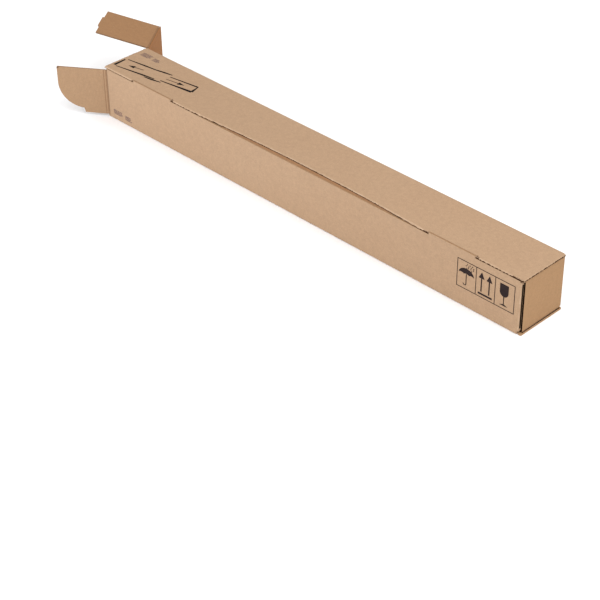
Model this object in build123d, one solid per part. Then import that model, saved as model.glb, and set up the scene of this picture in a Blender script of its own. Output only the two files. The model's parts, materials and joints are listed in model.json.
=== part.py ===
"""Square corrugated mailing tube, folded from one die-cut sheet, with its far end open.

Millimetres, +Z up. X runs along the tube towards the closed near end, Y towards the back
panel, and the front panel faces -Y. The origin is the middle of the face that the tube rests on.
"""
import os

from build123d import *

# Board and the space that the tube holds
board = 3.0
inside_length = 1050.0
inside_width = 105.0
inside_height = 105.0

# Clearances
lap_gap = 0.3
crease_gap = 0.1
lid_seat_gap = 1.0

# Lid and its tuck flap
lid_overhang = 2.0
lid_corner_radius = 4.0
floor_corner_radius = 1.5
lid_front_radius = 2.0
tuck_length = 34.0
tuck_tilt = 8.0
tuck_inset = 9.0
tuck_end_inset = 118.0
tuck_corner_radius = 14.0
slack_start = -268.0
slack_end = 312.0
slack_depth = 8.5

# Tongues that stand up from the front panel and fill cut-outs along the lid's front fold
tongue_starts = (-443.0, 324.5)
tongue_lengths = (110.0, 102.5)
tongue_gap = 0.4
tongue_corner_radius = 1.0

# End panels and their ears
end_free_gap = 4.0
fold_take_up = 3.0
ear_hinge_inset = 7.0
ear_free_inset = 1.2
upper_ear_length = 114.0
upper_ear_taper = 0.5
upper_ear_step = 3.5
upper_ear_step_inset = 28.0
lower_ear_length = 58.0
lower_ear_inset = 3.0
lower_ear_radius = 34.0
slot_length = 41.0
slot_width = 8.0
slot_from_hinge = 35.0

# Dust flaps
dust_length = 104.0
dust_shoulder_length = 51.5
dust_shoulder_drop = 9.5
dust_shoulder_slope = 2.5
dust_shoulder_radius = 2.5
dust_free_edge = 34.5
dust_corner_radius = 1.5
fold_slot_width = 3.6
fold_slot_inset = 5.0

# How far the far flaps stand open: the end panel and dust flap from shut, the ear above square
end_open = 144.5
dust_open = 125.0
ear_lift = 14.0

# Places that follow from the sizes above
half_board = board / 2
side_in = inside_width / 2
side_out = side_in + board
lid_under = board + inside_height
top = lid_under + board
end_in = inside_length / 2
end_out = end_in + board
lid_end = end_out + lid_overhang
front_top = lid_under - lid_seat_gap
dust_in = end_in - lap_gap - board
ear_top = lid_under - lap_gap
ear_bottom = board + lap_gap
flap_low = ear_bottom + board + lap_gap
flap_high = ear_top - board - lap_gap
free_edge = side_out - end_free_gap
fold_start = half_board + crease_gap
end_axis = (-(end_in + half_board), side_in + half_board)
dust_axis = (-(dust_in + half_board), -(side_in + half_board))
upper_ear_axis = ear_top - half_board
lower_ear_axis = ear_bottom + half_board


def slab(x_span, y_span, z_span):
    """A flat piece of board between three pairs of limits."""
    size = [high - low for low, high in (x_span, y_span, z_span)]
    middle = [(high + low) / 2 for low, high in (x_span, y_span, z_span)]
    return Pos(*middle) * Box(*size)


def upright_fold(x, y, x_side, y_side, z_span):
    """The rounded outside of an upright fold: a quarter of a rod about (x, y)."""
    rod = Pos(x, y, sum(z_span) / 2) * Cylinder(board, z_span[1] - z_span[0])
    corner = slab(sorted((x, x + x_side * board)), sorted((y, y + y_side * board)), z_span)
    return rod & corner


def cross_fold(x, z, x_side, z_side, y_span):
    """The rounded outside of a fold that runs along Y: a quarter of a rod about (x, z)."""
    rod = Pos(x, sum(y_span) / 2, z) * Rot(90, 0, 0) * Cylinder(board, y_span[1] - y_span[0])
    corner = slab(sorted((x, x + x_side * board)), y_span, sorted((z, z + z_side * board)))
    return rod & corner


def along_tube(outline, x_span):
    """Extrudes an outline drawn in Y and Z over a span of X."""
    face = Plane.YZ * make_face(outline)
    return Pos(x_span[0], 0, 0) * extrude(face, x_span[1] - x_span[0], dir=(1, 0, 0))


def panels_section(front):
    """The front and bottom panels, or the back panel up to its fold with the lid."""
    if front:
        path = Polyline((-side_in, 0), (0, 0), (0, board), (-side_in, board), (-side_in, front_top),
                        (-side_out, front_top), (-side_out, board))
        return path + RadiusArc((-side_out, board), (-side_in, 0), -board)
    walls = Polyline((0, 0), (side_in, 0))
    walls += RadiusArc((side_in, 0), (side_out, board), -board)
    walls += Line((side_out, board), (side_out, lid_under))
    walls += RadiusArc((side_out, lid_under), (side_in, top), -board)
    return walls + Polyline((side_in, top), (side_in, board), (0, board), (0, 0))


def dust_outline():
    """A dust flap's outline: s runs from its hinge and z up the tube."""
    shoulder_top = flap_low + dust_shoulder_drop
    curve_top = flap_high - dust_free_edge
    shoulder_end = dust_shoulder_length + dust_shoulder_slope
    edges = Polyline((dust_length, curve_top), (dust_length, flap_high), (0, flap_high), (0, flap_low),
                     (dust_shoulder_length, flap_low), (shoulder_end, shoulder_top))
    return edges + TangentArc((dust_length, curve_top), (shoulder_end, shoulder_top), tangent=(0, -1))


def dust_flap(fold_distance):
    """A dust flap that stands across the tube at x = 0, hinged at y = 0 and reaching +Y."""
    face = Plane.YZ * make_face(dust_outline())
    flap = Pos(-half_board, 0, 0) * extrude(face, board, dir=(1, 0, 0))
    shoulder = flap.edges().filter_by(Axis.X).sort_by_distance((0, dust_shoulder_length, flap_low))[0]
    flap = fillet(shoulder, dust_shoulder_radius)
    tip = flap.edges().filter_by(Axis.X).sort_by_distance((0, dust_length, flap_high))[0]
    flap = fillet(tip, dust_corner_radius)
    hinge_strip = slab((-board, board), (-board, fold_distance), (0, top))
    return flap - hinge_strip


def upper_ear(length):
    """The upper ear, lying flat: x runs in from its fold and y from the end panel's hinge to -Y."""
    near, far = -ear_hinge_inset, -(side_in + free_edge - ear_free_inset)
    tip = length - upper_ear_step
    outline = Polyline((0, near), (tip, near - upper_ear_taper), (tip, near - upper_ear_step_inset),
                       (length, near - upper_ear_step_inset - upper_ear_step / 2),
                       (length, far + upper_ear_step_inset + upper_ear_step / 2),
                       (tip, far + upper_ear_step_inset), (tip, far + upper_ear_taper), (0, far), (0, near))
    return extrude(make_face(outline), half_board, both=True)


def lower_ear(length):
    """The lower ear, lying flat like the upper one, with the slot along its fold."""
    near, far = -lower_ear_inset, -(side_in + free_edge - lower_ear_inset)
    ear = extrude(make_face(Polyline((0, near), (length, near), (length, far), (0, far), (0, near))),
                  half_board, both=True)
    free_corner = ear.edges().filter_by(Axis.Z).sort_by_distance((length, far, 0))[0]
    ear = fillet(free_corner, lower_ear_radius)
    slot_middle = -(slot_from_hinge + slot_length / 2)
    slot = Pos(slot_width / 2 + half_board, slot_middle, 0) * SlotOverall(slot_length, slot_width, rotation=90)
    return ear - extrude(slot, board, both=True)


def sleeve():
    """Front, bottom and back panels, with the near end folded shut: all one piece of board."""
    tube = along_tube(panels_section(True), (dust_axis[0], dust_in))
    tube += along_tube(panels_section(False), (end_axis[0], end_in))
    tube += slab((-end_in, end_in), (-side_in, side_in), (0, board))
    crease_half = side_in + half_board
    for side in (-1, 1):
        lip = slab(sorted((side * end_in, side * lid_end)), (-crease_half, crease_half), (0, board))
        corners = lip.edges().filter_by(Axis.Z).sort_by_distance((side * lid_end, 0, half_board))[:2]
        tube += fillet(corners, floor_corner_radius)
    tube += Pos(*end_axis, (board + lid_under) / 2) * Cylinder(half_board, lid_under - board)
    tube += Pos(*dust_axis, (board + front_top) / 2) * Cylinder(half_board, front_top - board)
    for start, length in zip(tongue_starts, tongue_lengths):
        tongue = slab((start, start + length), (-side_out, -side_in), (lid_under - board, top))
        corners = tongue.edges().filter_by(Axis.Y).group_by(Axis.Z)[-1]
        tube += fillet(corners, tongue_corner_radius)
    return tube + near_end()


def near_end():
    """The near end's dust flap, end panel and two ears, as they are folded shut."""
    end_span = (ear_bottom + board, ear_top - board)
    shut_edge = free_edge - fold_take_up
    panel = slab((end_in, end_out), (-shut_edge, side_in), end_span)
    panel += upright_fold(end_in, side_in, 1, 1, end_span)
    upper_span = (-(free_edge - ear_free_inset), side_in - ear_hinge_inset)
    lower_span = (-(free_edge - lower_ear_inset), side_in - lower_ear_inset)
    panel += cross_fold(end_in, ear_top - board, 1, 1, upper_span)
    panel += cross_fold(end_in, ear_bottom + board, 1, -1, lower_span)
    upper = mirror(upper_ear(upper_ear_length), about=Plane.YZ)
    lower = mirror(lower_ear(lower_ear_length), about=Plane.YZ)
    panel += Pos(end_in, side_in, ear_top - half_board) * upper
    panel += Pos(end_in, side_in, ear_bottom + half_board) * lower
    flap = Pos(dust_in + half_board, -side_in, 0) * dust_flap(0)
    flap += upright_fold(dust_in, -side_in, 1, -1, (flap_low, flap_high))
    flap -= slab((dust_in - board, end_in), (-side_in, -side_in + fold_slot_width),
                 (flap_low + fold_slot_inset, flap_high - fold_slot_inset))
    return panel + flap


def build_far_end():
    """The far end's flaps: each is made shut, then turned about its hinge to where it stands."""
    swing = Pos(*end_axis, 0) * Rot(0, 0, -end_open)
    reach = side_in + half_board + free_edge
    panel = slab((-half_board, half_board), (-reach, -fold_start), (lower_ear_axis, upper_ear_axis))
    for z in (lower_ear_axis, upper_ear_axis):
        edge_rod = Rot(90, 0, 0) * Cylinder(half_board, reach - fold_start)
        panel += Pos(0, -(reach + fold_start) / 2, z) * edge_rod
    ear_offset = Pos(fold_start, -half_board, 0)
    lifted = Pos(0, 0, upper_ear_axis) * Rot(0, -ear_lift, 0)
    upper = swing * lifted * ear_offset * upper_ear(upper_ear_length)
    lower = swing * Pos(0, 0, lower_ear_axis) * ear_offset * lower_ear(lower_ear_length)
    flap = Pos(*dust_axis, 0) * Rot(0, 0, dust_open) * dust_flap(fold_start)
    return {"far_end_panel": swing * panel, "far_upper_ear": upper, "far_lower_ear": lower,
            "far_dust_flap": flap}


def lid():
    """The top panel with the tuck flap that hangs behind the front panel."""
    lip = -side_out
    slack_lip = lip + slack_depth
    outline = Polyline((slack_start, lip), (-lid_end, lip), (-lid_end, side_in - crease_gap),
                       (lid_end, side_in - crease_gap), (lid_end, lip), (slack_end, lip))
    outline += ThreePointArc((slack_end, lip), ((slack_start + slack_end) / 2, slack_lip),
                             (slack_start, lip))
    sheet = extrude(Pos(0, 0, lid_under) * make_face(outline), board)
    free_corners = sheet.edges().filter_by(Axis.Z).group_by(Axis.Y)[0]
    outer_corners = free_corners.sort_by(Axis.X)
    sheet = fillet([outer_corners[0], outer_corners[-1]], lid_corner_radius)
    front_edges = [edge for edge in sheet.edges().group_by(Axis.Z)[-1] if edge.center().Y < slack_lip]
    sheet = fillet(front_edges, lid_front_radius)
    for start, length in zip(tongue_starts, tongue_lengths):
        reach = (start - tongue_gap, start + length + tongue_gap)
        sheet -= slab(reach, (-side_out - board, -side_in + tongue_gap), (lid_under - board, top + board))
    return sheet + tuck_flap()


def tuck_flap():
    """A long flap, tilted in so that it clears the front panel as the lid opens."""
    half_length = end_in - tuck_end_inset
    hidden = board
    flap = slab((-half_length, half_length), (0, board), (-tuck_length, hidden))
    corners = flap.edges().filter_by(Axis.Y).group_by(Axis.Z)[0]
    flap = fillet(corners, tuck_corner_radius)
    hung = Pos(0, -side_out + tuck_inset, lid_under) * Rot(tuck_tilt, 0, 0) * flap
    return hung - slab((-lid_end, lid_end), (-side_out, side_out), (lid_under + half_board, top + board))


pieces = {"sleeve": sleeve(), "lid": lid(), **build_far_end()}
os.makedirs("parts", exist_ok=True)
for name, shape in pieces.items():
    export_step(shape, f"parts/{name}.step")
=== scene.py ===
"""Dresses a square corrugated mailing tube: board, cut edges, printed marks and a plain stage."""

import json
import math
import random

import bmesh
import bpy
from bpy.props import FloatProperty, FloatVectorProperty, IntProperty, PointerProperty
from mathutils import Matrix, Vector, noise
from mathutils.bvhtree import BVHTree


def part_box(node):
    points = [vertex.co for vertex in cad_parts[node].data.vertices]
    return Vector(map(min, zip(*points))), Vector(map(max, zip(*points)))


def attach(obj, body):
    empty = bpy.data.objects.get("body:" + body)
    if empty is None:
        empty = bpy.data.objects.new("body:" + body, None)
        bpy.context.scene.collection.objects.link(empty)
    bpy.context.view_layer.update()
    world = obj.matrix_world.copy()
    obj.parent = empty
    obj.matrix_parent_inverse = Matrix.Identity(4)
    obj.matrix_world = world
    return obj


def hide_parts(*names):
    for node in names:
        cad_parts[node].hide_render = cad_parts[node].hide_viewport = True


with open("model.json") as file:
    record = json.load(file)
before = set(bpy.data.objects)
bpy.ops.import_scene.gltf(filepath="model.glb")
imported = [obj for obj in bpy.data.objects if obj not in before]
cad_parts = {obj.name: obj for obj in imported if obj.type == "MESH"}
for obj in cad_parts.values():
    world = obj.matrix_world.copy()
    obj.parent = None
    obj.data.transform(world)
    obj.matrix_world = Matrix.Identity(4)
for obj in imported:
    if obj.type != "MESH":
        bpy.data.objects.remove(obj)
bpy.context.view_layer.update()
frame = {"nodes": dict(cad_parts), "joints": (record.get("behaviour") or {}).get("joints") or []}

bl_info = {
    "name": "Square Mailing Tube",
    "version": (1, 0, 0),
    "blender": (4, 5, 0),
    "location": "3D View > Sidebar > Mailing Tube",
    "description": "Board, cut edges, printed marks and stage of a square corrugated mailing tube",
    "category": "Add Mesh",
}

# The material slots of a dressed board, in order; the end paper, hollow and gap slots hold painted
# shade, and the core slot partly
PAPER, CORE, HOLLOW_SHADE, INSIDE, SHADED_END_PAPER, GAP_SHADE = range(6)

# Places and sizes that the panels share, in metres
LIP_RADIUS = 0.002
CORNER_RADIUS = 0.004
SLACK = (-0.268, 0.312)
SLACK_DEPTH = 0.0085
TONGUES = ((-0.443, -0.333), (0.3245, 0.427))
CRACK_LIFT = 0.00012
FLAT_RIM = 0.004
FLOOR_TOP = 0.0035
END_DEPTH = 0.0051
GAP_REACH = 0.0115
GAP_SPAN = (0.0026, 0.0075)
CREASE_WIDTH = 0.0014
RIBBON_STEP = 0.0006

# Each far flap's joint, and roughly the way that its outer face looks at rest
FLAPS = {
    "far_end_panel": ("end_panel_fold", (1, 0, 0)),
    "far_upper_ear": ("upper_ear_fold", (0, 0, 1)),
    "far_lower_ear": ("lower_ear_fold", (0, 0, -1)),
    "far_dust_flap": ("dust_flap_fold", (0, -1, 0)),
}

# How many times a metre each unevenness of the paper comes back
DRIFT, PATCH, CLOUD, MOTTLE = 26.0, 9.0, 7.0, 150.0
GRAIN, FLECK, BARE, WEAR = 620.0, 420.0, 310.0, 60.0
BRUISE, INK_BUMP, INK_GRAIN = 500.0, 900.0, 1100.0
FIBRE = (260.0, 900.0, 900.0)

# Tones that the paper turns towards; the crease and gap tones are painted shade
CLOUD_TONE = (0.988, 0.977, 0.965, 1.0)
FLECK_TONE = (0.20, 0.11, 0.06, 1.0)
BARE_TONE = (0.66, 0.50, 0.36, 1.0)
WORN_TONE = (0.64, 0.48, 0.34, 1.0)
CREASE_SHADE_TONE = (0.20, 0.10, 0.05, 1.0)
BRUISE_TONE = (0.10, 0.045, 0.02, 1.0)
# Near black for the gap beside the shut end: painted shadow
GAP_SHADE_TONE = (0.008, 0.004, 0.002)

# Directions across the flutes, and how clearly and deeply the flutes show
ACROSS_X, ACROSS_Y, PLAIN = (1.0, 0.0, 0.0), (0.0, 1.0, 0.0), (0.0, 0.0, 0.0)
FAINT, MILD, SOFT, CLEAR = 0.022, 0.03, 0.04, 0.05
SMOOTH, FINE, ROUGH = 0.0002, 0.00025, 0.0003


def measure(name, about, value, unit="LENGTH"):
    """A setting that holds a length in metres, or a number of another unit."""
    return FloatProperty(name=name, description=about, default=value, unit=unit)


def degrees(name, about, value):
    """A setting that holds an angle, given in degrees."""
    return FloatProperty(name=name, description=about, default=math.radians(value), subtype="ANGLE")


def paint(name, about, value):
    """A setting that holds a colour."""
    return FloatVectorProperty(name=name, description=about, default=value, subtype="COLOR", size=3)


class BoardSettings(bpy.types.PropertyGroup):
    """Sizes and colours of the corrugated board; several colours carry painted shade."""

    thickness: measure("Board Thickness", "Liner to liner", 0.003)
    liner: measure("Liner Thickness", "One sheet of paper", 0.0004)
    recess: measure("Core Recess", "How deep the flutes can be seen into at a cut edge", 0.0012)
    pitch: measure("Flute Pitch", "From crest to crest", 0.0062)
    grid: measure("Skin Grid", "Largest face on a panel", 0.012)
    bow: measure("Panel Bow", "How far a panel strays from flat", 0.0007)
    outer_colour: paint("Outer Liner", "Kraft paper outside", (0.40, 0.261, 0.160))
    # The dust flap's outer colour is darker than the sides' paper: painted shade
    shaded_dust_flap_colour: paint("Dust Flap", "The far dust flap's outer face", (0.355, 0.222, 0.127))
    # The shut end's paper is darker and more saturated than the sides' paper: painted shade on the end
    shaded_end_colour: paint("Near End", "Kraft paper of the shut end", (0.365, 0.215, 0.110))
    inner_colour: paint("Inner Liner", "Kraft paper inside", (0.35, 0.207, 0.115))
    # The ears' and end panel's outer colours are darker than the sides' paper: painted shade
    shaded_ear_colour: paint("Ears", "Outer faces of the far end's two ears", (0.335, 0.183, 0.089))
    shaded_end_panel_colour: paint("End Panel", "The far end panel's outer face", (0.31, 0.142, 0.056))
    curl_colour: paint("Curl", "Shaded kraft paper in the slack edge", (0.30, 0.156, 0.075))
    # Core: the core paper, darkened as painted shade of the cut edge
    core_and_shade_colour: paint("Core", "Fluted paper seen at a cut edge", (0.30, 0.18, 0.10))
    # Hollow: painted shade between the flutes and in cracks
    hollow_shade_colour: paint("Hollow", "Between the flutes and in cracks", (0.050, 0.022, 0.010))


class PrintSettings(bpy.types.PropertyGroup):
    """Places and colours of the printed marks."""

    lift: measure("Ink Lift", "Height of the ink above the paper", 0.0001)
    line: measure("Line Width", "Thin printed lines", 0.0015)
    step: measure("Ink Step", "Longest face of a printed line", 0.005)
    marks_left: measure("Marks Left", "Left side of the handling marks", 0.3905)
    marks_low: measure("Marks Bottom", "Lower side of the handling marks", 0.0372)
    mark_width: measure("Mark Width", "One of the three marks", 0.0408)
    mark_height: measure("Mark Height", "Height of the marks", 0.0545)
    ink: paint("Mark Ink", "Ink of the handling marks", (0.020, 0.012, 0.012))
    pale_ink: paint("Pale Ink", "Ink of the small blocks", (0.10, 0.062, 0.070))
    black_ink: paint("Frame Ink", "Ink of the long frame on the lid", (0.004, 0.002, 0.002))
    seed: IntProperty(name="Seed", description="Order of the small dashes", default=7)


class StageSettings(bpy.types.PropertyGroup):
    """Camera, lights and floor."""

    camera_place: FloatVectorProperty(
        name="Camera", description="Where the camera stands", default=(1.8784, -1.8804, 1.6789),
        subtype="TRANSLATION", size=3)
    camera_heading: degrees("Heading", "From +X towards +Y", 135.621)
    camera_dip: degrees("Dip", "Below the horizon", 35.525)
    camera_roll: degrees("Roll", "About the line of sight", -0.691)
    lens: measure("Lens", "Focal length in millimetres", 101.997, "NONE")
    floor_size: measure("Floor Size", "Side of the floor", 14.0)
    ambient: measure("Ambient", "Light from all round", 0.90, "NONE")
    top_light: measure("Top Light", "Softbox over the tube, in watts", 31.0, "NONE")
    fill_light: measure("Fill Light", "Softbox in front, in watts", 21.0, "NONE")


def settings():
    """The three groups of settings, as they stand in the scene."""
    scene = bpy.context.scene
    return scene.tube_board, scene.tube_print, scene.tube_stage


# Node helpers

def add(tree, kind, inputs=None, **values):
    """A node of that kind, with its values set and its inputs linked or set."""
    node = tree.nodes.new(kind)
    for key, value in values.items():
        setattr(node, key, value)
    for key, value in (inputs or {}).items():
        if isinstance(value, bpy.types.NodeSocket):
            tree.links.new(value, node.inputs[key])
        else:
            node.inputs[key].default_value = value
    return node


def maths(tree, operation, first, second=0.0):
    """The output of a Math node."""
    return add(tree, "ShaderNodeMath", {0: first, 1: second}, operation=operation).outputs[0]


def times(tree, first, *others):
    """The product of all the values."""
    for other in others:
        first = maths(tree, "MULTIPLY", first, other)
    return first


def vectors(tree, operation, first, second=(0.0, 0.0, 0.0), output="Vector"):
    """An output of a Vector Math node."""
    node = add(tree, "ShaderNodeVectorMath", {0: first, 1: second}, operation=operation)
    return node.outputs[output]


def object_place(tree):
    """The place of the shaded point in the object's own space."""
    return add(tree, "ShaderNodeTexCoord").outputs["Object"]


def blend_colours(tree, factor, first, second, mode="MIX"):
    """The output of a colour Mix node."""
    inputs = {0: factor, 6: first, 7: second}
    return add(tree, "ShaderNodeMix", inputs, data_type="RGBA", blend_type=mode).outputs[2]


def speckle(tree, coordinates, scale, detail=4.0, roughness=0.55):
    """The value of a Noise texture."""
    inputs = {"Vector": coordinates, "Scale": scale, "Detail": detail, "Roughness": roughness}
    return add(tree, "ShaderNodeTexNoise", inputs).outputs[0]


def band(tree, value, low, high, start=0.0, end=1.0):
    """A value spread from one range to another, and held inside it."""
    inputs = {"Value": value, "From Min": low, "From Max": high, "To Min": start, "To Max": end}
    return add(tree, "ShaderNodeMapRange", inputs).outputs[0]


def kraft_group():
    """Kraft paper over flutes: colour, roughness and height that change over the surface."""
    if "kraft_paper" in bpy.data.node_groups:
        return bpy.data.node_groups["kraft_paper"]
    tree = bpy.data.node_groups.new("kraft_paper", "ShaderNodeTree")
    sockets = (
        ("INPUT", "NodeSocketColor", ("Paper",)),
        ("INPUT", "NodeSocketVector", ("Across Flutes",)),
        ("INPUT", "NodeSocketFloat", ("Flute Pitch", "Flute Shade", "Fold Wear")),
        ("OUTPUT", "NodeSocketColor", ("Colour",)),
        ("OUTPUT", "NodeSocketFloat", ("Roughness", "Height")),
    )
    for way, kind, names in sockets:
        for name in names:
            tree.interface.new_socket(name=name, in_out=way, socket_type=kind)
    given = tree.nodes.new("NodeGroupInput").outputs
    place = object_place(tree)

    along = vectors(tree, "DOT_PRODUCT", place, given["Across Flutes"], "Value")
    drift = speckle(tree, place, DRIFT, 2.0)
    turns = maths(tree, "DIVIDE", along, given["Flute Pitch"])
    turns = maths(tree, "ADD", turns, times(tree, drift, 0.35))
    patch = band(tree, speckle(tree, place, PATCH, 3.0), 0.35, 0.65, 0.35, 1.0)
    wave = times(tree, maths(tree, "SINE", times(tree, turns, math.tau)), patch)

    cloud = band(tree, speckle(tree, place, CLOUD, 3.0), 0.3, 0.7)
    mottle = band(tree, speckle(tree, place, MOTTLE, 6.0, 0.75), 0.25, 0.75)
    grain = speckle(tree, place, GRAIN, 5.0, 0.75)
    stretch = add(tree, "ShaderNodeMapping", {"Vector": place, "Scale": FIBRE},
                  vector_type="POINT").outputs[0]
    fibre = speckle(tree, stretch, 1.0, 3.0, 0.6)

    paper = blend_colours(tree, cloud, given["Paper"], CLOUD_TONE, "MULTIPLY")
    ripple = maths(tree, "ADD", 1.0, times(tree, wave, given["Flute Shade"]))
    shade = times(tree, band(tree, mottle, 0.0, 1.0, 0.88, 1.09),
                  band(tree, grain, 0.3, 0.7, 0.91, 1.09),
                  band(tree, fibre, 0.3, 0.7, 0.95, 1.05), ripple)
    tone = add(tree, "ShaderNodeVectorMath", {0: paper, "Scale": shade}, operation="SCALE").outputs[0]

    for scale, least, cover, tint in ((FLECK, 0.70, 0.45, FLECK_TONE), (BARE, 0.72, 0.30, BARE_TONE)):
        spots = band(tree, speckle(tree, place, scale, 2.0, 0.5), least, least + 0.08)
        tone = blend_colours(tree, times(tree, spots, cover), tone, tint)

    facing = add(tree, "ShaderNodeNewGeometry").outputs["Normal"]
    parts = add(tree, "ShaderNodeSeparateXYZ", {0: vectors(tree, "ABSOLUTE", facing)}).outputs
    largest = maths(tree, "MAXIMUM", maths(tree, "MAXIMUM", parts[0], parts[1]), parts[2])
    worn = band(tree, speckle(tree, place, WEAR, 5.0, 0.7), 0.35, 0.65)
    fold = times(tree, band(tree, largest, 0.985, 0.80), worn, given["Fold Wear"])
    tone = blend_colours(tree, fold, tone, WORN_TONE)

    result = tree.nodes.new("NodeGroupOutput").inputs
    height = maths(tree, "ADD", times(tree, wave, 0.5), times(tree, grain, 0.45))
    height = maths(tree, "ADD", height, times(tree, mottle, 0.35))
    tree.links.new(tone, result["Colour"])
    tree.links.new(band(tree, mottle, 0.0, 1.0, 0.78, 0.92), result["Roughness"])
    tree.links.new(height, result["Height"])
    return tree


def crease_mask(tree, origin, direction, distances, width):
    """A soft mask along straight creases at those distances from a fold, for painted shade and a
    pressed-in bump.
    """
    place = object_place(tree)
    apart = vectors(tree, "SUBTRACT", place, tuple(origin))
    out = vectors(tree, "DOT_PRODUCT", apart, tuple(direction), "Value")
    mask = None
    for distance in distances:
        gap = maths(tree, "ABSOLUTE", maths(tree, "SUBTRACT", out, distance))
        line = band(tree, gap, width, 0.0)
        mask = line if mask is None else maths(tree, "MAXIMUM", mask, line)
    return mask


def new_material(name):
    """A new material with its node tree and its shader."""
    material = bpy.data.materials.new(name)
    material.use_nodes = True
    return material, material.node_tree, material.node_tree.nodes["Principled BSDF"]


def wire(tree, shader, tone, roughness, gloss, height, depth, strength):
    """Gives the shader its colour, roughness, gloss and bump."""
    bump = add(tree, "ShaderNodeBump", {"Height": height, "Distance": depth, "Strength": strength})
    tree.links.new(tone, shader.inputs["Base Color"])
    tree.links.new(roughness, shader.inputs["Roughness"])
    shader.inputs["Specular IOR Level"].default_value = gloss
    tree.links.new(bump.outputs[0], shader.inputs["Normal"])


def kraft_material(name, colour, across, shade, depth, wear=0.0, creases=None, bruise=None,
                   gloss=0.15):
    """A board finish with its own flute direction, fold wear, creases darkened with painted shade, and
    bruised corner.
    """
    if name in bpy.data.materials:
        return bpy.data.materials[name]
    material, tree, shader = new_material(name)
    given = {"Paper": (*colour, 1.0), "Across Flutes": tuple(across), "Flute Shade": shade,
             "Flute Pitch": settings()[0].pitch / 2, "Fold Wear": wear}
    paper = add(tree, "ShaderNodeGroup", given, node_tree=kraft_group()).outputs
    tone, height = paper["Colour"], paper["Height"]
    if creases:
        mask = crease_mask(tree, *creases)
        # Painted shade along the creases, with the bump pressed in
        tone = blend_colours(tree, times(tree, mask, 0.7), tone, CREASE_SHADE_TONE)
        height = maths(tree, "SUBTRACT", height, times(tree, mask, 2.5))
    if bruise:
        mask = corner_mask(tree, *bruise)
        tone = blend_colours(tree, mask, tone, BRUISE_TONE)
        height = maths(tree, "SUBTRACT", height, times(tree, mask, 2.0))
    wire(tree, shader, tone, paper["Roughness"], gloss, height, depth, 0.6)
    return material


def corner_mask(tree, point, radius):
    """A rough mask round one point of an edge."""
    place = object_place(tree)
    apart = vectors(tree, "DISTANCE", place, tuple(point), "Value")
    apart = maths(tree, "ADD", apart, times(tree, speckle(tree, place, BRUISE), radius))
    return band(tree, apart, radius * 1.7, radius * 1.2)


def inside_material():
    """The inner liner of the tube."""
    return kraft_material("kraft_inside", settings()[0].inner_colour, ACROSS_X, SOFT, FINE)


def core_material():
    """The fluted core, seen at a cut edge: rough, and darker than the liners as painted shade of the
    flutes.
    """
    return kraft_material("board_core", settings()[0].core_and_shade_colour, PLAIN, 0.0, SMOOTH)


def hollow_shade_material():
    """The shade between the flutes, and in cracks of the liner."""
    return kraft_material("board_hollow", settings()[0].hollow_shade_colour, PLAIN, 0.0, SMOOTH, gloss=0.0)


def ink_material(name, colour, cover):
    """Flexo ink on kraft: a little of the paper shows through."""
    if name in bpy.data.materials:
        return bpy.data.materials[name]
    material, tree, shader = new_material(name)
    place = object_place(tree)
    gaps = band(tree, speckle(tree, place, INK_GRAIN, 4.0, 0.7), cover, cover + 0.12)
    cloud = band(tree, speckle(tree, place, WEAR, 3.0), 0.3, 0.7, 0.0, 0.02)
    bare = maths(tree, "MAXIMUM", times(tree, gaps, 0.25), cloud)
    tone = blend_colours(tree, bare, (*colour, 1.0), (*settings()[0].outer_colour, 1.0))
    roughness = band(tree, gaps, 0.0, 1.0, 0.62, 0.85)
    wire(tree, shader, tone, roughness, 0.06, speckle(tree, place, INK_BUMP, 4.0), 0.0001, 0.4)
    return material


# Mesh helpers

def add_object(name, data):
    """A new object in the scene."""
    made = bpy.data.objects.new(name, data)
    bpy.context.scene.collection.objects.link(made)
    return made


def piece(name, shape, materials, body, node=None, smooth=True):
    """Turns a bmesh into an object that rides on a body, and may stand for a CAD node."""
    mesh = bpy.data.meshes.new(name)
    bmesh.ops.recalc_face_normals(shape, faces=shape.faces)
    shape.to_mesh(mesh)
    shape.free()
    made = add_object(name, mesh)
    for material in materials:
        mesh.materials.append(material)
    if smooth:
        mesh.shade_smooth()
        mesh.set_sharp_from_angle(angle=math.radians(32))
    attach(made, body)
    if node:
        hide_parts(node)


def node_shape(node):
    """The node's CAD form, with its faces joined at their corners."""
    shape = bmesh.new()
    shape.from_mesh(frame["nodes"][node].data)
    bmesh.ops.remove_doubles(shape, verts=shape.verts, dist=1e-6)
    return shape


def board_copy(node, step):
    """The node's form with its flat faces cut into a grid no coarser than step."""
    shape = node_shape(node)
    bmesh.ops.dissolve_limit(shape, angle_limit=math.radians(0.5), verts=shape.verts, edges=shape.edges)
    low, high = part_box(node)
    for axis in range(3):
        count = math.ceil((high[axis] - low[axis]) / step)
        for index in range(1, count):
            point, normal = Vector(low), Vector((0, 0, 0))
            point[axis] += (high[axis] - low[axis]) * index / count
            normal[axis] = 1.0
            everything = shape.verts[:] + shape.edges[:] + shape.faces[:]
            bmesh.ops.bisect_plane(shape, geom=everything, plane_co=point, plane_no=normal)
    shape.normal_update()
    return shape


def pick(shape, wanted):
    """The faces that wanted accepts by their normal and middle."""
    return [face for face in shape.faces if wanted(face.normal, face.calc_center_median())]


def recess(shape, faces, board, floor=CORE, share=0.6):
    """Sinks the core of a cut edge between its two liners."""
    if not faces:
        raise RuntimeError("no cut edge was found")
    made = bmesh.ops.inset_region(shape, faces=faces, thickness=board.liner, depth=-board.recess * share,
                                  use_even_offset=True, use_boundary=True)
    for face in faces:
        face.material_index = floor
    for face in made["faces"]:
        face.material_index = CORE


def fold_of(node):
    """The joint that a far flap turns on."""
    return next(joint for joint in frame["joints"] if joint["name"] == FLAPS[node][0])


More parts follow.
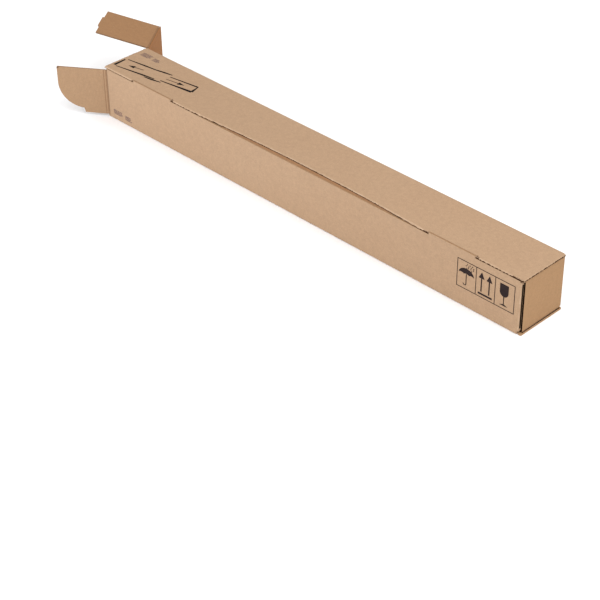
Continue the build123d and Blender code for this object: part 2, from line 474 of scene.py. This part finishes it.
def hinge_frame(node):
    """A flap's own frame: fold point, directions along the fold and away from it, and its normal."""
    joint = fold_of(node)
    point, along = Vector(joint["pos_m"]), Vector(joint["axis"]).normalized()
    points = [vertex.co for vertex in frame["nodes"][node].data.vertices]
    spread = sum((co - point for co in points), Vector())
    normal = sheet_normal(node)
    away = along.cross(normal).normalized()
    if away.dot(spread) < 0:
        away.negate()
    return point, along, away, normal


def sheet_normal(node):
    """The direction that most of a sheet's area faces."""
    areas, normals = {}, {}
    for face in frame["nodes"][node].data.polygons:
        key = tuple(round(value, 2) for value in face.normal)
        areas[key] = areas.get(key, 0.0) + face.area
        normals[key] = face.normal.normalized()
    return normals[max(areas, key=areas.get)]


def outlines(node, normal):
    """Ordered loops of points round the faces of a node that look along the normal."""
    shape = node_shape(node)
    shape.normal_update()
    flat = {face for face in shape.faces if face.normal.dot(normal) > 0.999}
    rim = [edge for edge in shape.edges if sum(face in flat for face in edge.link_faces) == 1]
    steps = {}
    for edge in rim:
        loop = next(loop for loop in edge.link_loops if loop.face in flat)
        steps[loop.vert.index] = (loop.link_loop_next.vert.index, loop.vert.co.copy())
    loops = []
    while steps:
        current = next(iter(steps))
        chain = []
        while current in steps:
            following, co = steps.pop(current)
            chain.append(co)
            current = following
        if len(chain) > 2:
            loops.append(chain)
    shape.free()
    return loops


def walk(points, step, closed=True):
    """Even samples along a line of points, with the way it runs at each."""
    samples = []
    ends = points[1:] + points[:1] if closed else points[1:]
    for start, end in zip(points, ends):
        run = end - start
        count = max(1, round(run.length / step))
        for index in range(count):
            samples.append((start + run * (index / count), run.normalized()))
    return samples


def core_ribbon(shape, samples, normal, across, board, closed=True):
    """The wavy core paper in a cut edge, sampled along the rim of the face with that normal."""
    swing = board.thickness / 2 - board.liner
    rings = []
    for point, way in samples:
        out = way.cross(normal)
        phase = math.tau * point.dot(across) / board.pitch
        middle = point - normal * (board.thickness / 2 - swing * 0.86 * math.sin(phase))
        corners = []
        for depth, side in ((1.5, -0.5), (0.15, -0.5), (0.15, 0.5), (1.5, 0.5)):
            offset = normal * (side * board.liner * 0.9)
            corners.append(shape.verts.new(middle - out * (depth * board.recess) + offset))
        rings.append(corners)
    if closed:
        rings.append(rings[0])
    for first, second in zip(rings, rings[1:]):
        for index in range(4):
            following = (index + 1) % 4
            shape.faces.new((first[index], first[following], second[following], second[index]))


def skin(shape, rows):
    """Faces between neighbouring rows of points."""
    rows = [[shape.verts.new(point) for point in row] for row in rows]
    for first, second in zip(rows, rows[1:]):
        for index in range(len(first) - 1):
            shape.faces.new((first[index], second[index], second[index + 1], first[index + 1]))


class Sheet:
    """A flat place for print: a corner, its two directions and the way that it faces."""

    def __init__(self, corner, right, up):
        self.corner, self.right, self.up = Vector(corner), Vector(right), Vector(up)
        self.out = self.right.cross(self.up)

    def at(self, x, y):
        """The point that far right and up."""
        return self.corner + self.right * x + self.up * y


def stroke(shape, sheet, start, end, width, end_width=None):
    """A straight printed line whose width may taper, in faces short enough to follow a bow."""
    start, end = Vector(start), Vector(end)
    end_width = width if end_width is None else end_width
    side = Vector((start.y - end.y, end.x - start.x)).normalized()
    count = math.ceil((end - start).length / settings()[1].step)
    rows = []
    for index in range(count + 1):
        share = index / count
        middle = start.lerp(end, share)
        half = side * (width + (end_width - width) * share) / 2
        rows.append([sheet.at(*(middle + offset)) for offset in (-half, half)])
    skin(shape, rows)


def blob(shape, sheet, points):
    """A filled printed outline."""
    shape.faces.new([shape.verts.new(sheet.at(x, y)) for x, y in points])


def lay(shape, sheet, carrier, lift):
    """Drops a print along its sheet's facing on to the board that carries it."""
    mesh = bpy.data.objects[carrier].data
    points = [vertex.co for vertex in mesh.vertices]
    tree = BVHTree.FromPolygons(points, [face.vertices for face in mesh.polygons])
    for vertex in shape.verts:
        hit = tree.ray_cast(vertex.co + sheet.out * 0.01, -sheet.out, 0.02)[0]
        if hit is None:
            raise RuntimeError("a print leaves the panel " + carrier)
        vertex.co = hit + sheet.out * lift


def arc(middle, radius, start, end, steps):
    """Points on an arc, in degrees."""
    angles = [math.radians(start + (end - start) * index / steps) for index in range(steps + 1)]
    return [(middle[0] + radius * math.cos(angle), middle[1] + radius * math.sin(angle))
            for angle in angles]


# The panels

def bow_front(co, board):
    """The front and back panels' gentle bow, which dies out at their folds."""
    fold_height, fade_end, fade_length, waves = 0.111, 0.515, 0.06, 5.0
    height = max(0.0, min(1.0, co.z / fold_height))
    fade = math.sin(math.pi * height) ** 2
    ends = max(0.0, min(1.0, (fade_end - abs(co.x)) / fade_length))
    wander = noise.noise(Vector((co.x * waves, math.copysign(3.0, co.y), 0.7)))
    return board.bow * fade * ends * (0.5 + wander) * math.copysign(1.0, co.y)


def dress_sleeve():
    """Front, bottom and back panels with the shut near end."""
    board = settings()[0]
    shape = board_copy("sleeve", board.grid)
    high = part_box("sleeve")[1]
    side, end = high.y, high.x
    seam = high.z - board.thickness
    ear_height, end_wall, rim_drop, rim_end = 0.09, 0.006, 0.002, 0.010
    slot = (0.0035 - side, 0.012 - side)
    for vertex in shape.verts:
        if abs(vertex.co.y) > side - board.thickness * 1.05 and vertex.co.z < seam - FLAT_RIM:
            vertex.co.y += bow_front(vertex.co, board)
    shape.normal_update()
    for face in shape.faces:
        middle = face.calc_center_median()
        ear_top = face.normal.z > 0.9 and middle.z > ear_height
        within = abs(middle.y) < side - board.thickness * 0.6 and middle.z > board.thickness * 0.9
        if within and middle.z < seam - 0.0003 and middle.x < end - end_wall and not ear_top:
            face.material_index = INSIDE
    rim = pick(shape, lambda normal, middle: (
        middle.y < board.thickness * 1.02 - side and abs(normal.y) < 0.1
        and middle.z > seam - rim_drop and abs(middle.x) < end - rim_end))
    # The front panel's top cut edge is floored with the shaded end paper
    recess(shape, rim, board, SHADED_END_PAPER, 0.35)
    free = pick(shape, lambda normal, middle: (
        normal.y < -0.99 and middle.x > end - END_DEPTH and slot[0] < middle.y < slot[1]))
    # The end panel's free cut edge is floored with near-black painted shadow
    recess(shape, free, board, GAP_SHADE)
    for face in shape.faces:
        middle = face.calc_center_median()
        if face.material_index not in (PAPER, INSIDE, CORE) or middle.x < end - GAP_REACH:
            continue
        in_floor = middle.z <= FLOOR_TOP
        in_gap = GAP_SPAN[0] - side < middle.y < GAP_SPAN[1] - side
        # Faces in the gap beside the shut end are painted near black as the gap's shadow
        if in_gap and not in_floor and face.normal.x < 0.9:
            face.material_index = GAP_SHADE
        elif middle.x > end - END_DEPTH and (face.normal.x > 0.5 or in_floor):
            face.material_index = SHADED_END_PAPER
    paper = kraft_material("kraft_sleeve", board.outer_colour, ACROSS_X, FAINT, FINE, 0.45)
    # Darker, more saturated paper for the shut end's faces and the floor lip under it: painted shade
    shaded_end_paper = kraft_material("kraft_near_end", board.shaded_end_colour, ACROSS_Y, FAINT, FINE, 0.3)
    # Near-black paint for the gap beside the shut end: painted shadow
    gap = kraft_material("end_gap", GAP_SHADE_TONE, PLAIN, 0.0, SMOOTH, gloss=0.0)
    finishes = [paper, core_material(), hollow_shade_material(), inside_material(), shaded_end_paper, gap]
    piece("sleeve_board", shape, finishes, "tube", "sleeve")


def end_seam():
    """Painted shadow in the seam between the shut end panel and the lip of the floor under it."""
    chance = random.Random(5)
    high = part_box("sleeve")[1]
    lip = 0.002
    foot = high.x - lip
    level = settings()[0].thickness + CRACK_LIFT
    start, length = -0.049, 0.100
    shape = bmesh.new()
    rows = []
    count = 90
    for index in range(count + 1):
        y = start + length * index / count
        reach = chance.uniform(0.0007, 0.0013)
        rise = chance.uniform(0.0004, 0.0010)
        rows.append(((foot + CRACK_LIFT, y, level + rise), (foot + CRACK_LIFT, y, level),
                     (foot + reach, y, level)))
    skin(shape, rows)
    piece("end_seam", shape, [hollow_shade_material()], "tube", smooth=False)


def sleeve_core():
    """The core paper along the front panel's cut top edge and its two tongues."""
    board = settings()[0]
    normal = Vector((0, -1, 0))
    loop = max(outlines("sleeve", normal), key=len)
    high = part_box("sleeve")[1]
    seam = high.z - board.thickness - 0.002
    start = next(index for index in range(len(loop)) if loop[index - 1].z < seam <= loop[index].z)
    turned = loop[start:] + loop[:start]
    top = [co for co in turned if co.z >= seam]
    shape = bmesh.new()
    core_ribbon(shape, walk(top, RIBBON_STEP, False), normal, Vector(ACROSS_X), board, False)
    piece("sleeve_core", shape, [core_material()], "tube")


def dress_lid():
    """The lid and its tuck flap."""
    board = settings()[0]
    shape = board_copy("lid", board.grid)
    low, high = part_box("lid")
    fade_length, waves = 0.05, 4.0
    for vertex in shape.verts:
        if vertex.co.z > high.z - board.thickness * 1.05:
            square_corner(vertex.co, low, high)
            across = (vertex.co.y - low.y) / (high.y - low.y)
            fade = math.sin(math.pi * max(0.0, min(1.0, across))) ** 2
            ends = max(0.0, min(1.0, (high.x - abs(vertex.co.x)) / fade_length))
            wander = noise.noise(Vector((vertex.co.x * waves, 9.0, 0.3)))
            vertex.co.z += board.bow * fade * ends * (0.3 + wander)
    shape.normal_update()
    for face in shape.faces:
        middle = face.calc_center_median()
        tuck_back = face.normal.y > 0.5 and middle.y < 0 and middle.z < high.z - board.thickness
        if face.normal.z < -0.5 or tuck_back:
            face.material_index = INSIDE
    ends = pick(shape, lambda normal, middle: abs(normal.x) > 0.9 and abs(middle.x) > high.x - 0.0005)
    # The lid's cut ends are sunk and floored with painted shade
    recess(shape, ends, board, HOLLOW_SHADE, 1.0)
    paper = kraft_material("kraft_lid", board.outer_colour, ACROSS_X, FAINT, FINE, 0.45)
    finishes = [paper, core_material(), hollow_shade_material(), inside_material()]
    piece("lid_board", shape, finishes, "lid", "lid")


def square_corner(co, low, high):
    """Brings the small round of a front corner of the lid out to a sharp one."""
    middle = Vector((math.copysign(high.x - CORNER_RADIUS, co.x), low.y + CORNER_RADIUS))
    out_x = abs(co.x) - abs(middle.x)
    out_y = middle.y - co.y
    if out_x <= 0 or out_y <= 0:
        return
    reach = math.hypot(out_x, out_y)
    sharpness = 0.85
    scale = sharpness * (reach / max(out_x, out_y) - 1.0) + 1.0
    co.x = math.copysign(abs(middle.x) + out_x * scale, co.x)
    co.y = middle.y - out_y * scale


def lid_core():
    """The core paper between the liners at the lid's two cut ends."""
    board = settings()[0]
    low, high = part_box("lid")
    shape = bmesh.new()
    for side in (-1, 1):
        front = Vector((side * high.x, low.y + LIP_RADIUS + 0.002, high.z))
        back = Vector((side * high.x, high.y - 0.0015, high.z))
        ends = [back, front] if side < 0 else [front, back]
        samples = walk(ends, RIBBON_STEP, False)
        core_ribbon(shape, samples, Vector((0, 0, 1)), Vector(ACROSS_Y), board, False)
    piece("lid_core", shape, [core_material()], "lid")


class Lip:
    """The rounded front edge of the lid, with the bay where it has slackened."""

    def __init__(self):
        low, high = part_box("lid")
        board = settings()[0]
        self.front, self.under = low.y, high.z - board.thickness

    def edge(self, x):
        """How far back the edge lies there."""
        start, end = SLACK
        share = (2 * x - start - end) / (end - start)
        return self.front + SLACK_DEPTH * max(0.0, 1.0 - share * share)

    def at(self, x, reach):
        """The point that far up round the edge from its lower side, just clear of the board."""
        straight = settings()[0].thickness - LIP_RADIUS
        turn = max(0.0, reach - straight) / LIP_RADIUS
        back, rise = math.cos(turn), math.sin(turn)
        radius = LIP_RADIUS + CRACK_LIFT
        return Vector((x, self.edge(x) + LIP_RADIUS - radius * back,
                       self.under + min(reach, straight) + radius * rise))


def crack_and_shade(shape, lip, chance, start, end, reach, jag, dash=None):
    """A ragged dark line along the lid's front edge, whole or in dashes: cut marks with painted shadow
    of the gap under the edge.
    """
    step, lowest = 0.0009, 0.0006
    x = start
    while x < end:
        length = (end - x) if dash is None else min(end - x, chance.uniform(0.5, 1.5) * dash)
        count = max(2, round(length / step))
        rows = []
        for index in range(count + 1):
            place = x + length * index / count
            taper = 1.0 if dash is None else 0.45 + 0.55 * math.sin(math.pi * index / count)
            top = (reach + jag * chance.uniform(-1.0, 1.0)) * taper
            levels = (0.0, max(lowest / 2, top * 0.5), max(lowest, top))
            rows.append([lip.at(place, level) for level in levels])
        skin(shape, rows)
        x += length + (0.0 if dash is None else chance.uniform(0.25, 0.8) * dash)


def lip_cracks():
    """The dark line along the lid's front edge: cracked liner and open flutes, with painted shadow of
    the gap under the edge.
    """
    chance = random.Random(11)
    lip = Lip()
    shape = bmesh.new()
    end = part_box("lid")[1].x - 0.0006
    (far_start, far_end), (near_start, near_end) = TONGUES
    beside, corner, fade = 0.0006, 0.024, 0.09
    deepest = (SLACK[0] + fade, SLACK[1] - fade)

    # From, to, height, raggedness, and the length of a dash where the line is broken
    runs = (
        (-end, far_start - 0.006, 0.0007, 0.0003, 0.004),
        (far_start - 0.0048, far_start - beside, 0.0026, 0.0004, None),
        (far_end + beside, far_end + 0.0085, 0.0034, 0.0005, None),
        (far_end + 0.0095, SLACK[0], 0.0013, 0.0006, 0.006),
        (SLACK[0], deepest[0], 0.0017, 0.0008, 0.012),
        (deepest[0], deepest[1], 0.0013, 0.0008, None),
        (deepest[1], SLACK[1], 0.0011, 0.0005, 0.012),
        (SLACK[1], near_start - beside, 0.0026, 0.0006, None),
        (near_end + beside, near_end + 0.0080, 0.0034, 0.0005, None),
        (near_end + 0.0090, end - corner, 0.0016, 0.0005, 0.0055),
        (end - corner, end, 0.0030, 0.0006, None),
    )
    for run in runs:
        crack_and_shade(shape, lip, chance, *run)
    piece("lip_cracks", shape, [hollow_shade_material()], "lid", smooth=False)


def slack_curl():
    """The tuck flap's paper where it curls out between the slack edge and the front panel."""
    board = settings()[0]
    lip = Lip()
    clear, tucked, drop, ragged = 0.0004, 0.0012, 0.0019, 0.0002
    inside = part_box("sleeve")[0].y + board.thickness + clear
    chance = random.Random(13)
    start, end = SLACK
    shape = bmesh.new()
    rows = []
    count = 200
    for index in range(1, count):
        x = start + (end - start) * index / count
        edge = lip.edge(x)
        if edge < inside + clear:
            continue
        top = Vector((x, edge + tucked, lip.under - 0.0001))
        foot = Vector((x, inside, lip.under - drop + chance.uniform(-ragged, ragged)))
        bulge = top.lerp(foot, 0.55) + Vector((0, -0.0002, 0.0003))
        rows.append((top, bulge, foot))
    skin(shape, rows)
    paper = kraft_material("kraft_curl", board.curl_colour, ACROSS_X, FAINT, ROUGH)
    piece("slack_curl", shape, [paper], "lid")


def tip_corner(node):
    """The upper corner of a flap at its free side."""
    point, away = hinge_frame(node)[::2]
    points = [vertex.co for vertex in frame["nodes"][node].data.vertices]
    return max(points, key=lambda co: (co - point).dot(away) + 2.0 * co.z).copy()


def dress_flap(node, colour, shade, distances, bruise=None):
    """One of the far end's flaps, with its cut edges sunk and its creases pressed in and darkened with
    painted shade.
    """
    board = settings()[0]
    point, along, away, normal = hinge_frame(node)
    shape = board_copy(node, board.grid)
    if node == "far_end_panel":
        rim = [face for face in shape.faces if face.normal.dot(away) > 0.99]
    else:
        rim = [face for face in shape.faces if abs(face.normal.dot(normal)) < 0.3]
    for face in shape.faces:
        if face.normal.dot(Vector(FLAPS[node][1])) < -0.3:
            face.material_index = INSIDE
    recess(shape, rim, board)
    flutes = away if node.endswith("ear") else along
    across = flutes.cross(normal)
    creases = (point, away, distances, CREASE_WIDTH)
    paper = kraft_material("kraft_" + node, colour, across, shade, ROUGH, 0.0, creases, bruise)
    body = fold_of(node)["child"]
    inside = kraft_material("inside_" + node, board.inner_colour, across, CLEAR, ROUGH, 0.0, creases)
    finishes = [paper, core_material(), hollow_shade_material(), inside]
    piece(node + "_board", shape, finishes, body, node)
    ribbon = bmesh.new()
    for loop in outlines(node, normal):
        core_ribbon(ribbon, walk(loop, RIBBON_STEP), normal, across, board)
    piece(node + "_core", ribbon, [core_material()], body)


# The print

def handling_marks():
    """Three plain handling marks in a ruled box: keep dry, this way up, fragile."""
    ink = settings()[1]
    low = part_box("sleeve")[0]
    sheet = Sheet((ink.marks_left, low.y, ink.marks_low), (1, 0, 0), (0, 0, 1))
    width, height, line = ink.mark_width, ink.mark_height, ink.line
    shape = bmesh.new()
    for index in range(4):
        stroke(shape, sheet, (index * width, 0), (index * width, height), line)
    for level in (0, height):
        stroke(shape, sheet, (-line / 2, level), (3 * width + line / 2, level), line)
    umbrella(shape, sheet, width * 0.49, height)
    arrows(shape, sheet, width, width, height)
    goblet(shape, sheet, width * 2.47, height)
    lay(shape, sheet, "sleeve_board", ink.lift)
    piece("handling_marks", shape, [ink_material("mark_ink", ink.ink, 0.66)], "tube", smooth=False)


def umbrella(shape, sheet, middle, height):
    """An open umbrella with a hooked handle, under a few drops."""
    base = height * 0.52
    radius = height * 0.305
    dome = arc((middle, base), radius, 0, 180, 20)
    scallop = radius / 3
    stick = 0.0019
    handle = height * 0.19
    hem = []
    for index in range(3):
        hem += arc((middle - radius + scallop * (2 * index + 1), base), scallop, 180, 0, 6)[:-1]
    squat = [(x, base + (y - base) * 0.76) for x, y in dome]
    scallops = [(x, base + (y - base) * 0.42) for x, y in hem]
    blob(shape, sheet, squat[:-1] + scallops)
    stroke(shape, sheet, (middle, base + radius * 0.1), (middle, handle), stick)
    hook_radius = 0.0030
    hook = arc((middle - hook_radius, handle), hook_radius, 0, -180, 8)
    for start, end in zip(hook, hook[1:]):
        stroke(shape, sheet, start, end, stick)
    stroke(shape, sheet, (middle, base + radius * 0.70), (middle, base + radius * 0.90), 0.0018, 0.0008)
    for row, start, count in ((0.93, 0.03, 3), (0.87, -0.02, 4), (0.81, 0.07, 3), (0.75, 0.20, 1)):
        for index in range(count):
            x = middle + (start + index * 0.10) * height
            stroke(shape, sheet, (x, height * row), (x - 0.0008, height * row - 0.0022), stick)


def arrows(shape, sheet, left, width, height):
    """Two arrows that point up from a bar."""
    shaft, half_head, bar = 0.0027, 0.0064, 0.0038
    neck, ground = height * 0.68, height * 0.12
    for share in (0.29, 0.70):
        x = left + width * share
        stroke(shape, sheet, (x, height * 0.20), (x, height * 0.70), shaft)
        blob(shape, sheet, ((x - half_head, neck), (x + half_head, neck), (x, height * 0.91)))
    stroke(shape, sheet, (left + width * 0.13, ground), (left + width * 0.87, ground), bar)


def goblet(shape, sheet, middle, height):
    """A stemmed glass."""
    rim, waist = height * 0.89, height * 0.60
    half = height * 0.168
    bowl = [(middle + half, rim), (middle - half, rim), *arc((middle, waist), half, 180, 360, 14)]
    blob(shape, sheet, bowl)
    stroke(shape, sheet, (middle, waist - half * 0.9), (middle, height * 0.16), 0.0022, 0.0018)
    foot = ((middle - half * 1.02, height * 0.105), (middle + half * 1.02, height * 0.105),
            (middle + 0.0016, height * 0.165), (middle - 0.0016, height * 0.165))
    blob(shape, sheet, foot)


def lid_sheet():
    """The lid's outer face as a place for print, measured from the middle of the tube."""
    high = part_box("sleeve")[1]
    return Sheet((0, 0, high.z), (1, 0, 0), (0, 1, 0))


def seal_frame():
    """A long slanted frame of tapering strokes, with an arrow towards each end."""
    ink = settings()[1]
    sheet = lid_sheet()
    thin, medium, bar, thick = 0.0021, 0.0041, 0.0047, 0.0064

    # Where each run of strokes goes, and its width there
    runs = (
        ((-0.5207, -0.0374, thick), (-0.5218, -0.0085, medium)),
        ((-0.3272, -0.0070, thick), (-0.3318, 0.0145, thin)),
        ((-0.5175, -0.0048, thin), (-0.4700, 0.0015, medium), (-0.4310, 0.0062, thin)),
        ((-0.4440, 0.0052, thin), (-0.4240, 0.0090, bar), (-0.4040, 0.0124, thin)),
        ((-0.4020, 0.0048, thin), (-0.3318, 0.0145, medium)),
        ((-0.5150, -0.0382, thin), (-0.4450, -0.0265, bar), (-0.4180, -0.0220, thin)),
        ((-0.4400, -0.0302, thin), (-0.4200, -0.0270, bar), (-0.3990, -0.0228, thin)),
        ((-0.4053, -0.0182, thin), (-0.3272, -0.0070, thick)),
    )
    shape = bmesh.new()
    for run in runs:
        for start, end in zip(run, run[1:]):
            stroke(shape, sheet, start[:2], end[:2], start[2], end[2])
    head_length, head_half, shaft, shaft_end = 0.0155, 0.0046, 0.0018, 0.0014
    arrow_ends = (((-0.4976, -0.0206), (-0.4606, -0.0126)), ((-0.3560, 0.0006), (-0.4005, -0.0064)))
    for tip, tail in arrow_ends:
        tip, tail = Vector(tip), Vector(tail)
        along = (tail - tip).normalized()
        side = Vector((-along.y, along.x)) * head_half
        wings = tip + along * head_length
        blob(shape, sheet, [tip, wings - side, wings + side])
        stroke(shape, sheet, wings, tail, shaft, shaft_end)
    lay(shape, sheet, "lid_board", ink.lift)
    piece("seal_frame", shape, [ink_material("frame_ink", ink.black_ink, 0.70)], "lid", smooth=False)


def open_flutes():
    """Painted shade in the open flutes along the lid's two cut ends, in ragged runs."""
    chance = random.Random(3)
    low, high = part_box("lid")
    shape = bmesh.new()
    middle = high.z - settings()[0].thickness * 0.52
    run, tall, apart = (0.002, 0.009), (0.0010, 0.0027), (0.0008, 0.0036)
    last = high.y - 0.003
    for side in (-1, 1):
        sheet = Sheet((side * (high.x - CRACK_LIFT), 0, middle), (0, side, 0), (0, 0, 1))
        y = low.y + CORNER_RADIUS
        while y < last:
            length = min(chance.uniform(*run), high.y - 0.002 - y)
            width = chance.uniform(*tall)
            stroke(shape, sheet, (side * y, 0), (side * (y + length), 0), width, width * 0.8)
            y += length + chance.uniform(*apart)
    piece("open_flutes", shape, [hollow_shade_material()], "lid", smooth=False)


def tongue_tears():
    """Painted shade in the torn slits where the lid's notches end beside the front panel's tongues."""
    sheet = lid_sheet()
    shape = bmesh.new()
    for start, end in TONGUES:

        # Two ends and the widths there
        slits = (
            ((end + 0.0018, -0.0512), (end + 0.0025, -0.0546), 0.0018, 0.0030),
            ((end + 0.0012, -0.0543), (end + 0.0070, -0.0545), 0.0016, 0.0010),
            ((start - 0.0018, -0.0528), (start - 0.0030, -0.0544), 0.0012, 0.0018),
        )
        for slit in slits:
            stroke(shape, sheet, *slit)
    lay(shape, sheet, "lid_board", CRACK_LIFT)
    piece("tongue_tears", shape, [hollow_shade_material()], "lid", smooth=False)


def small_print(name, sheet, left, low, width, rows, body, carrier):
    """A block of short plain dashes in rows, where small print would stand."""
    ink = settings()[1]
    chance = random.Random(ink.seed)
    dash, space, row_height, dash_height = (0.0012, 0.0040), (0.0006, 0.0012), 0.0027, 0.0016
    shape = bmesh.new()
    for row in range(rows):
        x = left
        limit = left + width * chance.uniform(0.75, 1.0)
        while x < limit:
            length = chance.uniform(*dash)
            level = low + row * row_height
            stroke(shape, sheet, (x, level), (x + length, level), dash_height)
            x += length + chance.uniform(*space)
    lay(shape, sheet, carrier, ink.lift)
    piece(name, shape, [ink_material("pale_ink", ink.pale_ink, 0.62)], body, smooth=False)


def small_blocks():
    """The small blocks near the far end, two on the lid and two on the front panel."""
    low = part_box("sleeve")[0]
    lid = lid_sheet()
    front = Sheet((0, low.y, 0), (1, 0, 0), (0, 0, 1))

    # Name, sheet, left side, lowest row, width and rows, then body and board
    blocks = (
        ("lid_small_print", lid, -0.5160, 0.0255, 0.027, 5, "lid", "lid_board"),
        ("lid_small_print_end", lid, -0.4815, 0.0260, 0.018, 4, "lid", "lid_board"),
        ("front_small_print", front, -0.5105, 0.0140, 0.028, 4, "tube", "sleeve_board"),
        ("front_small_print_end", front, -0.4760, 0.0120, 0.020, 4, "tube", "sleeve_board"),
    )
    for block in blocks:
        small_print(*block)


# The stage

def build_stage():
    """Floor, softboxes, ambient light and the camera."""
    stage = settings()[2]
    make_floor(stage)
    top_place, top_size, top_tint = (1.3, -0.2, 1.95), 2.0, (0.97, 1.0, 1.06)
    front_place, front_size, front_tint = (-1.2, -1.7, 0.65), 1.0, (0.90, 0.98, 1.12)
    soft_light("top_softbox", top_place, top_size, stage.top_light, top_tint)
    soft_light("front_softbox", front_place, front_size, stage.fill_light, front_tint)
    scene = bpy.context.scene
    world = bpy.data.worlds.new("studio")
    scene.world = world
    world.use_nodes = True
    background = world.node_tree.nodes["Background"]
    background.inputs["Color"].default_value = (1.0, 0.985, 0.96, 1.0)
    background.inputs["Strength"].default_value = stage.ambient
    scene.view_settings.view_transform = "Standard"
    aim_camera(stage)


def make_floor(stage):
    """A plain pale floor with a faint unevenness."""
    half = stage.floor_size / 2
    corners = [(-half, -half, 0), (half, -half, 0), (half, half, 0), (-half, half, 0)]
    mesh = bpy.data.meshes.new("floor")
    mesh.from_pydata(corners, [], [(0, 1, 2, 3)])
    made = add_object("floor", mesh)
    material, tree, shader = new_material("floor_paint")
    tone = band(tree, speckle(tree, object_place(tree), 3.0, 2.0), 0.3, 0.7, 0.94, 0.96)
    tree.links.new(tone, shader.inputs["Base Color"])
    shader.inputs["Roughness"].default_value = 0.9
    mesh.materials.append(material)


def soft_light(name, place, size, power, tint):
    """A square softbox that looks at the tube's middle."""
    data = bpy.data.lights.new(name, "AREA")
    data.shape = "SQUARE"
    data.size = size
    data.energy = power
    data.color = tint
    made = add_object(name, data)
    made.location = place
    middle = Vector((0, 0, 0.05))
    made.rotation_euler = (middle - Vector(place)).to_track_quat("-Z", "Y").to_euler()


def aim_camera(stage):
    """The camera, at the photograph's viewing angle."""
    heading, dip, roll = stage.camera_heading, stage.camera_dip, stage.camera_roll
    look = Vector((math.cos(heading) * math.cos(dip), math.sin(heading) * math.cos(dip), -math.sin(dip)))
    level = Vector((math.sin(heading), -math.cos(heading), 0.0))
    upright = level.cross(look)
    right = level * math.cos(roll) + upright * math.sin(roll)
    up = upright * math.cos(roll) - level * math.sin(roll)
    data = bpy.data.cameras.new("camera")
    data.lens = stage.lens
    made = add_object("camera", data)
    turned = Matrix((right, up, -look)).transposed().to_4x4()
    made.matrix_world = Matrix.Translation(Vector(stage.camera_place)) @ turned
    bpy.context.scene.camera = made


class TUBE_OT_sleeve(bpy.types.Operator):
    """Dress the front, bottom and back panels and the shut near end"""

    bl_idname = "mailing_tube.sleeve"
    bl_label = "Dress Sleeve"

    def execute(self, context):
        """Builds the sleeve's board, the core in its cut edge and the painted shadow of the seam at its
        shut end.
        """
        dress_sleeve()
        sleeve_core()
        end_seam()
        return {"FINISHED"}


class TUBE_OT_lid(bpy.types.Operator):
    """Dress the lid and its tuck flap"""

    bl_idname = "mailing_tube.lid"
    bl_label = "Dress Lid"

    def execute(self, context):
        """Builds the lid's board, the core and the painted shade of the open flutes at its ends, and its
        cracked and torn lip with painted shade.
        """
        dress_lid()
        lid_core()
        lip_cracks()
        slack_curl()
        open_flutes()
        tongue_tears()
        return {"FINISHED"}


class TUBE_OT_flaps(bpy.types.Operator):
    """Dress the four flaps of the open far end"""

    bl_idname = "mailing_tube.flaps"
    bl_label = "Dress Far Flaps"

    def execute(self, context):
        """Builds each flap's board and core."""
        board = settings()[0]
        bruise_radius, ear_crease, dust_flap_creases = 0.0048, 0.0035, (0.0030, 0.0078)
        bruise = (tip_corner("far_dust_flap"), bruise_radius)
        # Each flap's outer colour is darker than the sides' paper as painted shade
        dress_flap("far_end_panel", board.shaded_end_panel_colour, CLEAR, (0.0,))
        dress_flap("far_upper_ear", board.shaded_ear_colour, CLEAR, (ear_crease,))
        dress_flap("far_lower_ear", board.shaded_ear_colour, CLEAR, (ear_crease,))
        dress_flap("far_dust_flap", board.shaded_dust_flap_colour, MILD, dust_flap_creases, bruise)
        return {"FINISHED"}


class TUBE_OT_print(bpy.types.Operator):
    """Print the handling marks, the long frame and the small blocks"""

    bl_idname = "mailing_tube.print"
    bl_label = "Print Marks"

    def execute(self, context):
        """Lays the ink on the front panel and the lid."""
        handling_marks()
        seal_frame()
        small_blocks()
        return {"FINISHED"}


class TUBE_OT_stage(bpy.types.Operator):
    """Build the floor, lights and camera"""

    bl_idname = "mailing_tube.stage"
    bl_label = "Build Stage"

    def execute(self, context):
        """Builds the stage."""
        build_stage()
        return {"FINISHED"}


class TUBE_PT_panel(bpy.types.Panel):
    """Lists the tube's operators and settings"""

    bl_idname = "TUBE_PT_panel"
    bl_label = "Mailing Tube"
    bl_space_type = "VIEW_3D"
    bl_region_type = "UI"
    bl_category = "Mailing Tube"

    def draw(self, context):
        """Draws the operators above the three groups of settings."""
        for operator in OPERATORS:
            self.layout.operator(operator.bl_idname)
        for group in settings():
            box = self.layout.box()
            for name in group.__annotations__:
                box.prop(group, name)


GROUPS = {"tube_board": BoardSettings, "tube_print": PrintSettings, "tube_stage": StageSettings}
OPERATORS = (TUBE_OT_sleeve, TUBE_OT_lid, TUBE_OT_flaps, TUBE_OT_print, TUBE_OT_stage)


def register():
    """Registers the settings, operators and panel."""
    for name, group in GROUPS.items():
        bpy.utils.register_class(group)
        setattr(bpy.types.Scene, name, PointerProperty(type=group))
    for item in (*OPERATORS, TUBE_PT_panel):
        bpy.utils.register_class(item)


def unregister():
    """Takes the panel, operators and settings away again."""
    for item in (TUBE_PT_panel, *reversed(OPERATORS)):
        bpy.utils.unregister_class(item)
    for name, group in reversed(GROUPS.items()):
        delattr(bpy.types.Scene, name)
        bpy.utils.unregister_class(group)


def main():
    """Builds every piece in order."""
    register()
    bpy.ops.mailing_tube.sleeve()
    bpy.ops.mailing_tube.lid()
    bpy.ops.mailing_tube.flaps()
    bpy.ops.mailing_tube.print()
    bpy.ops.mailing_tube.stage()


if __name__ == "__main__":
    main()
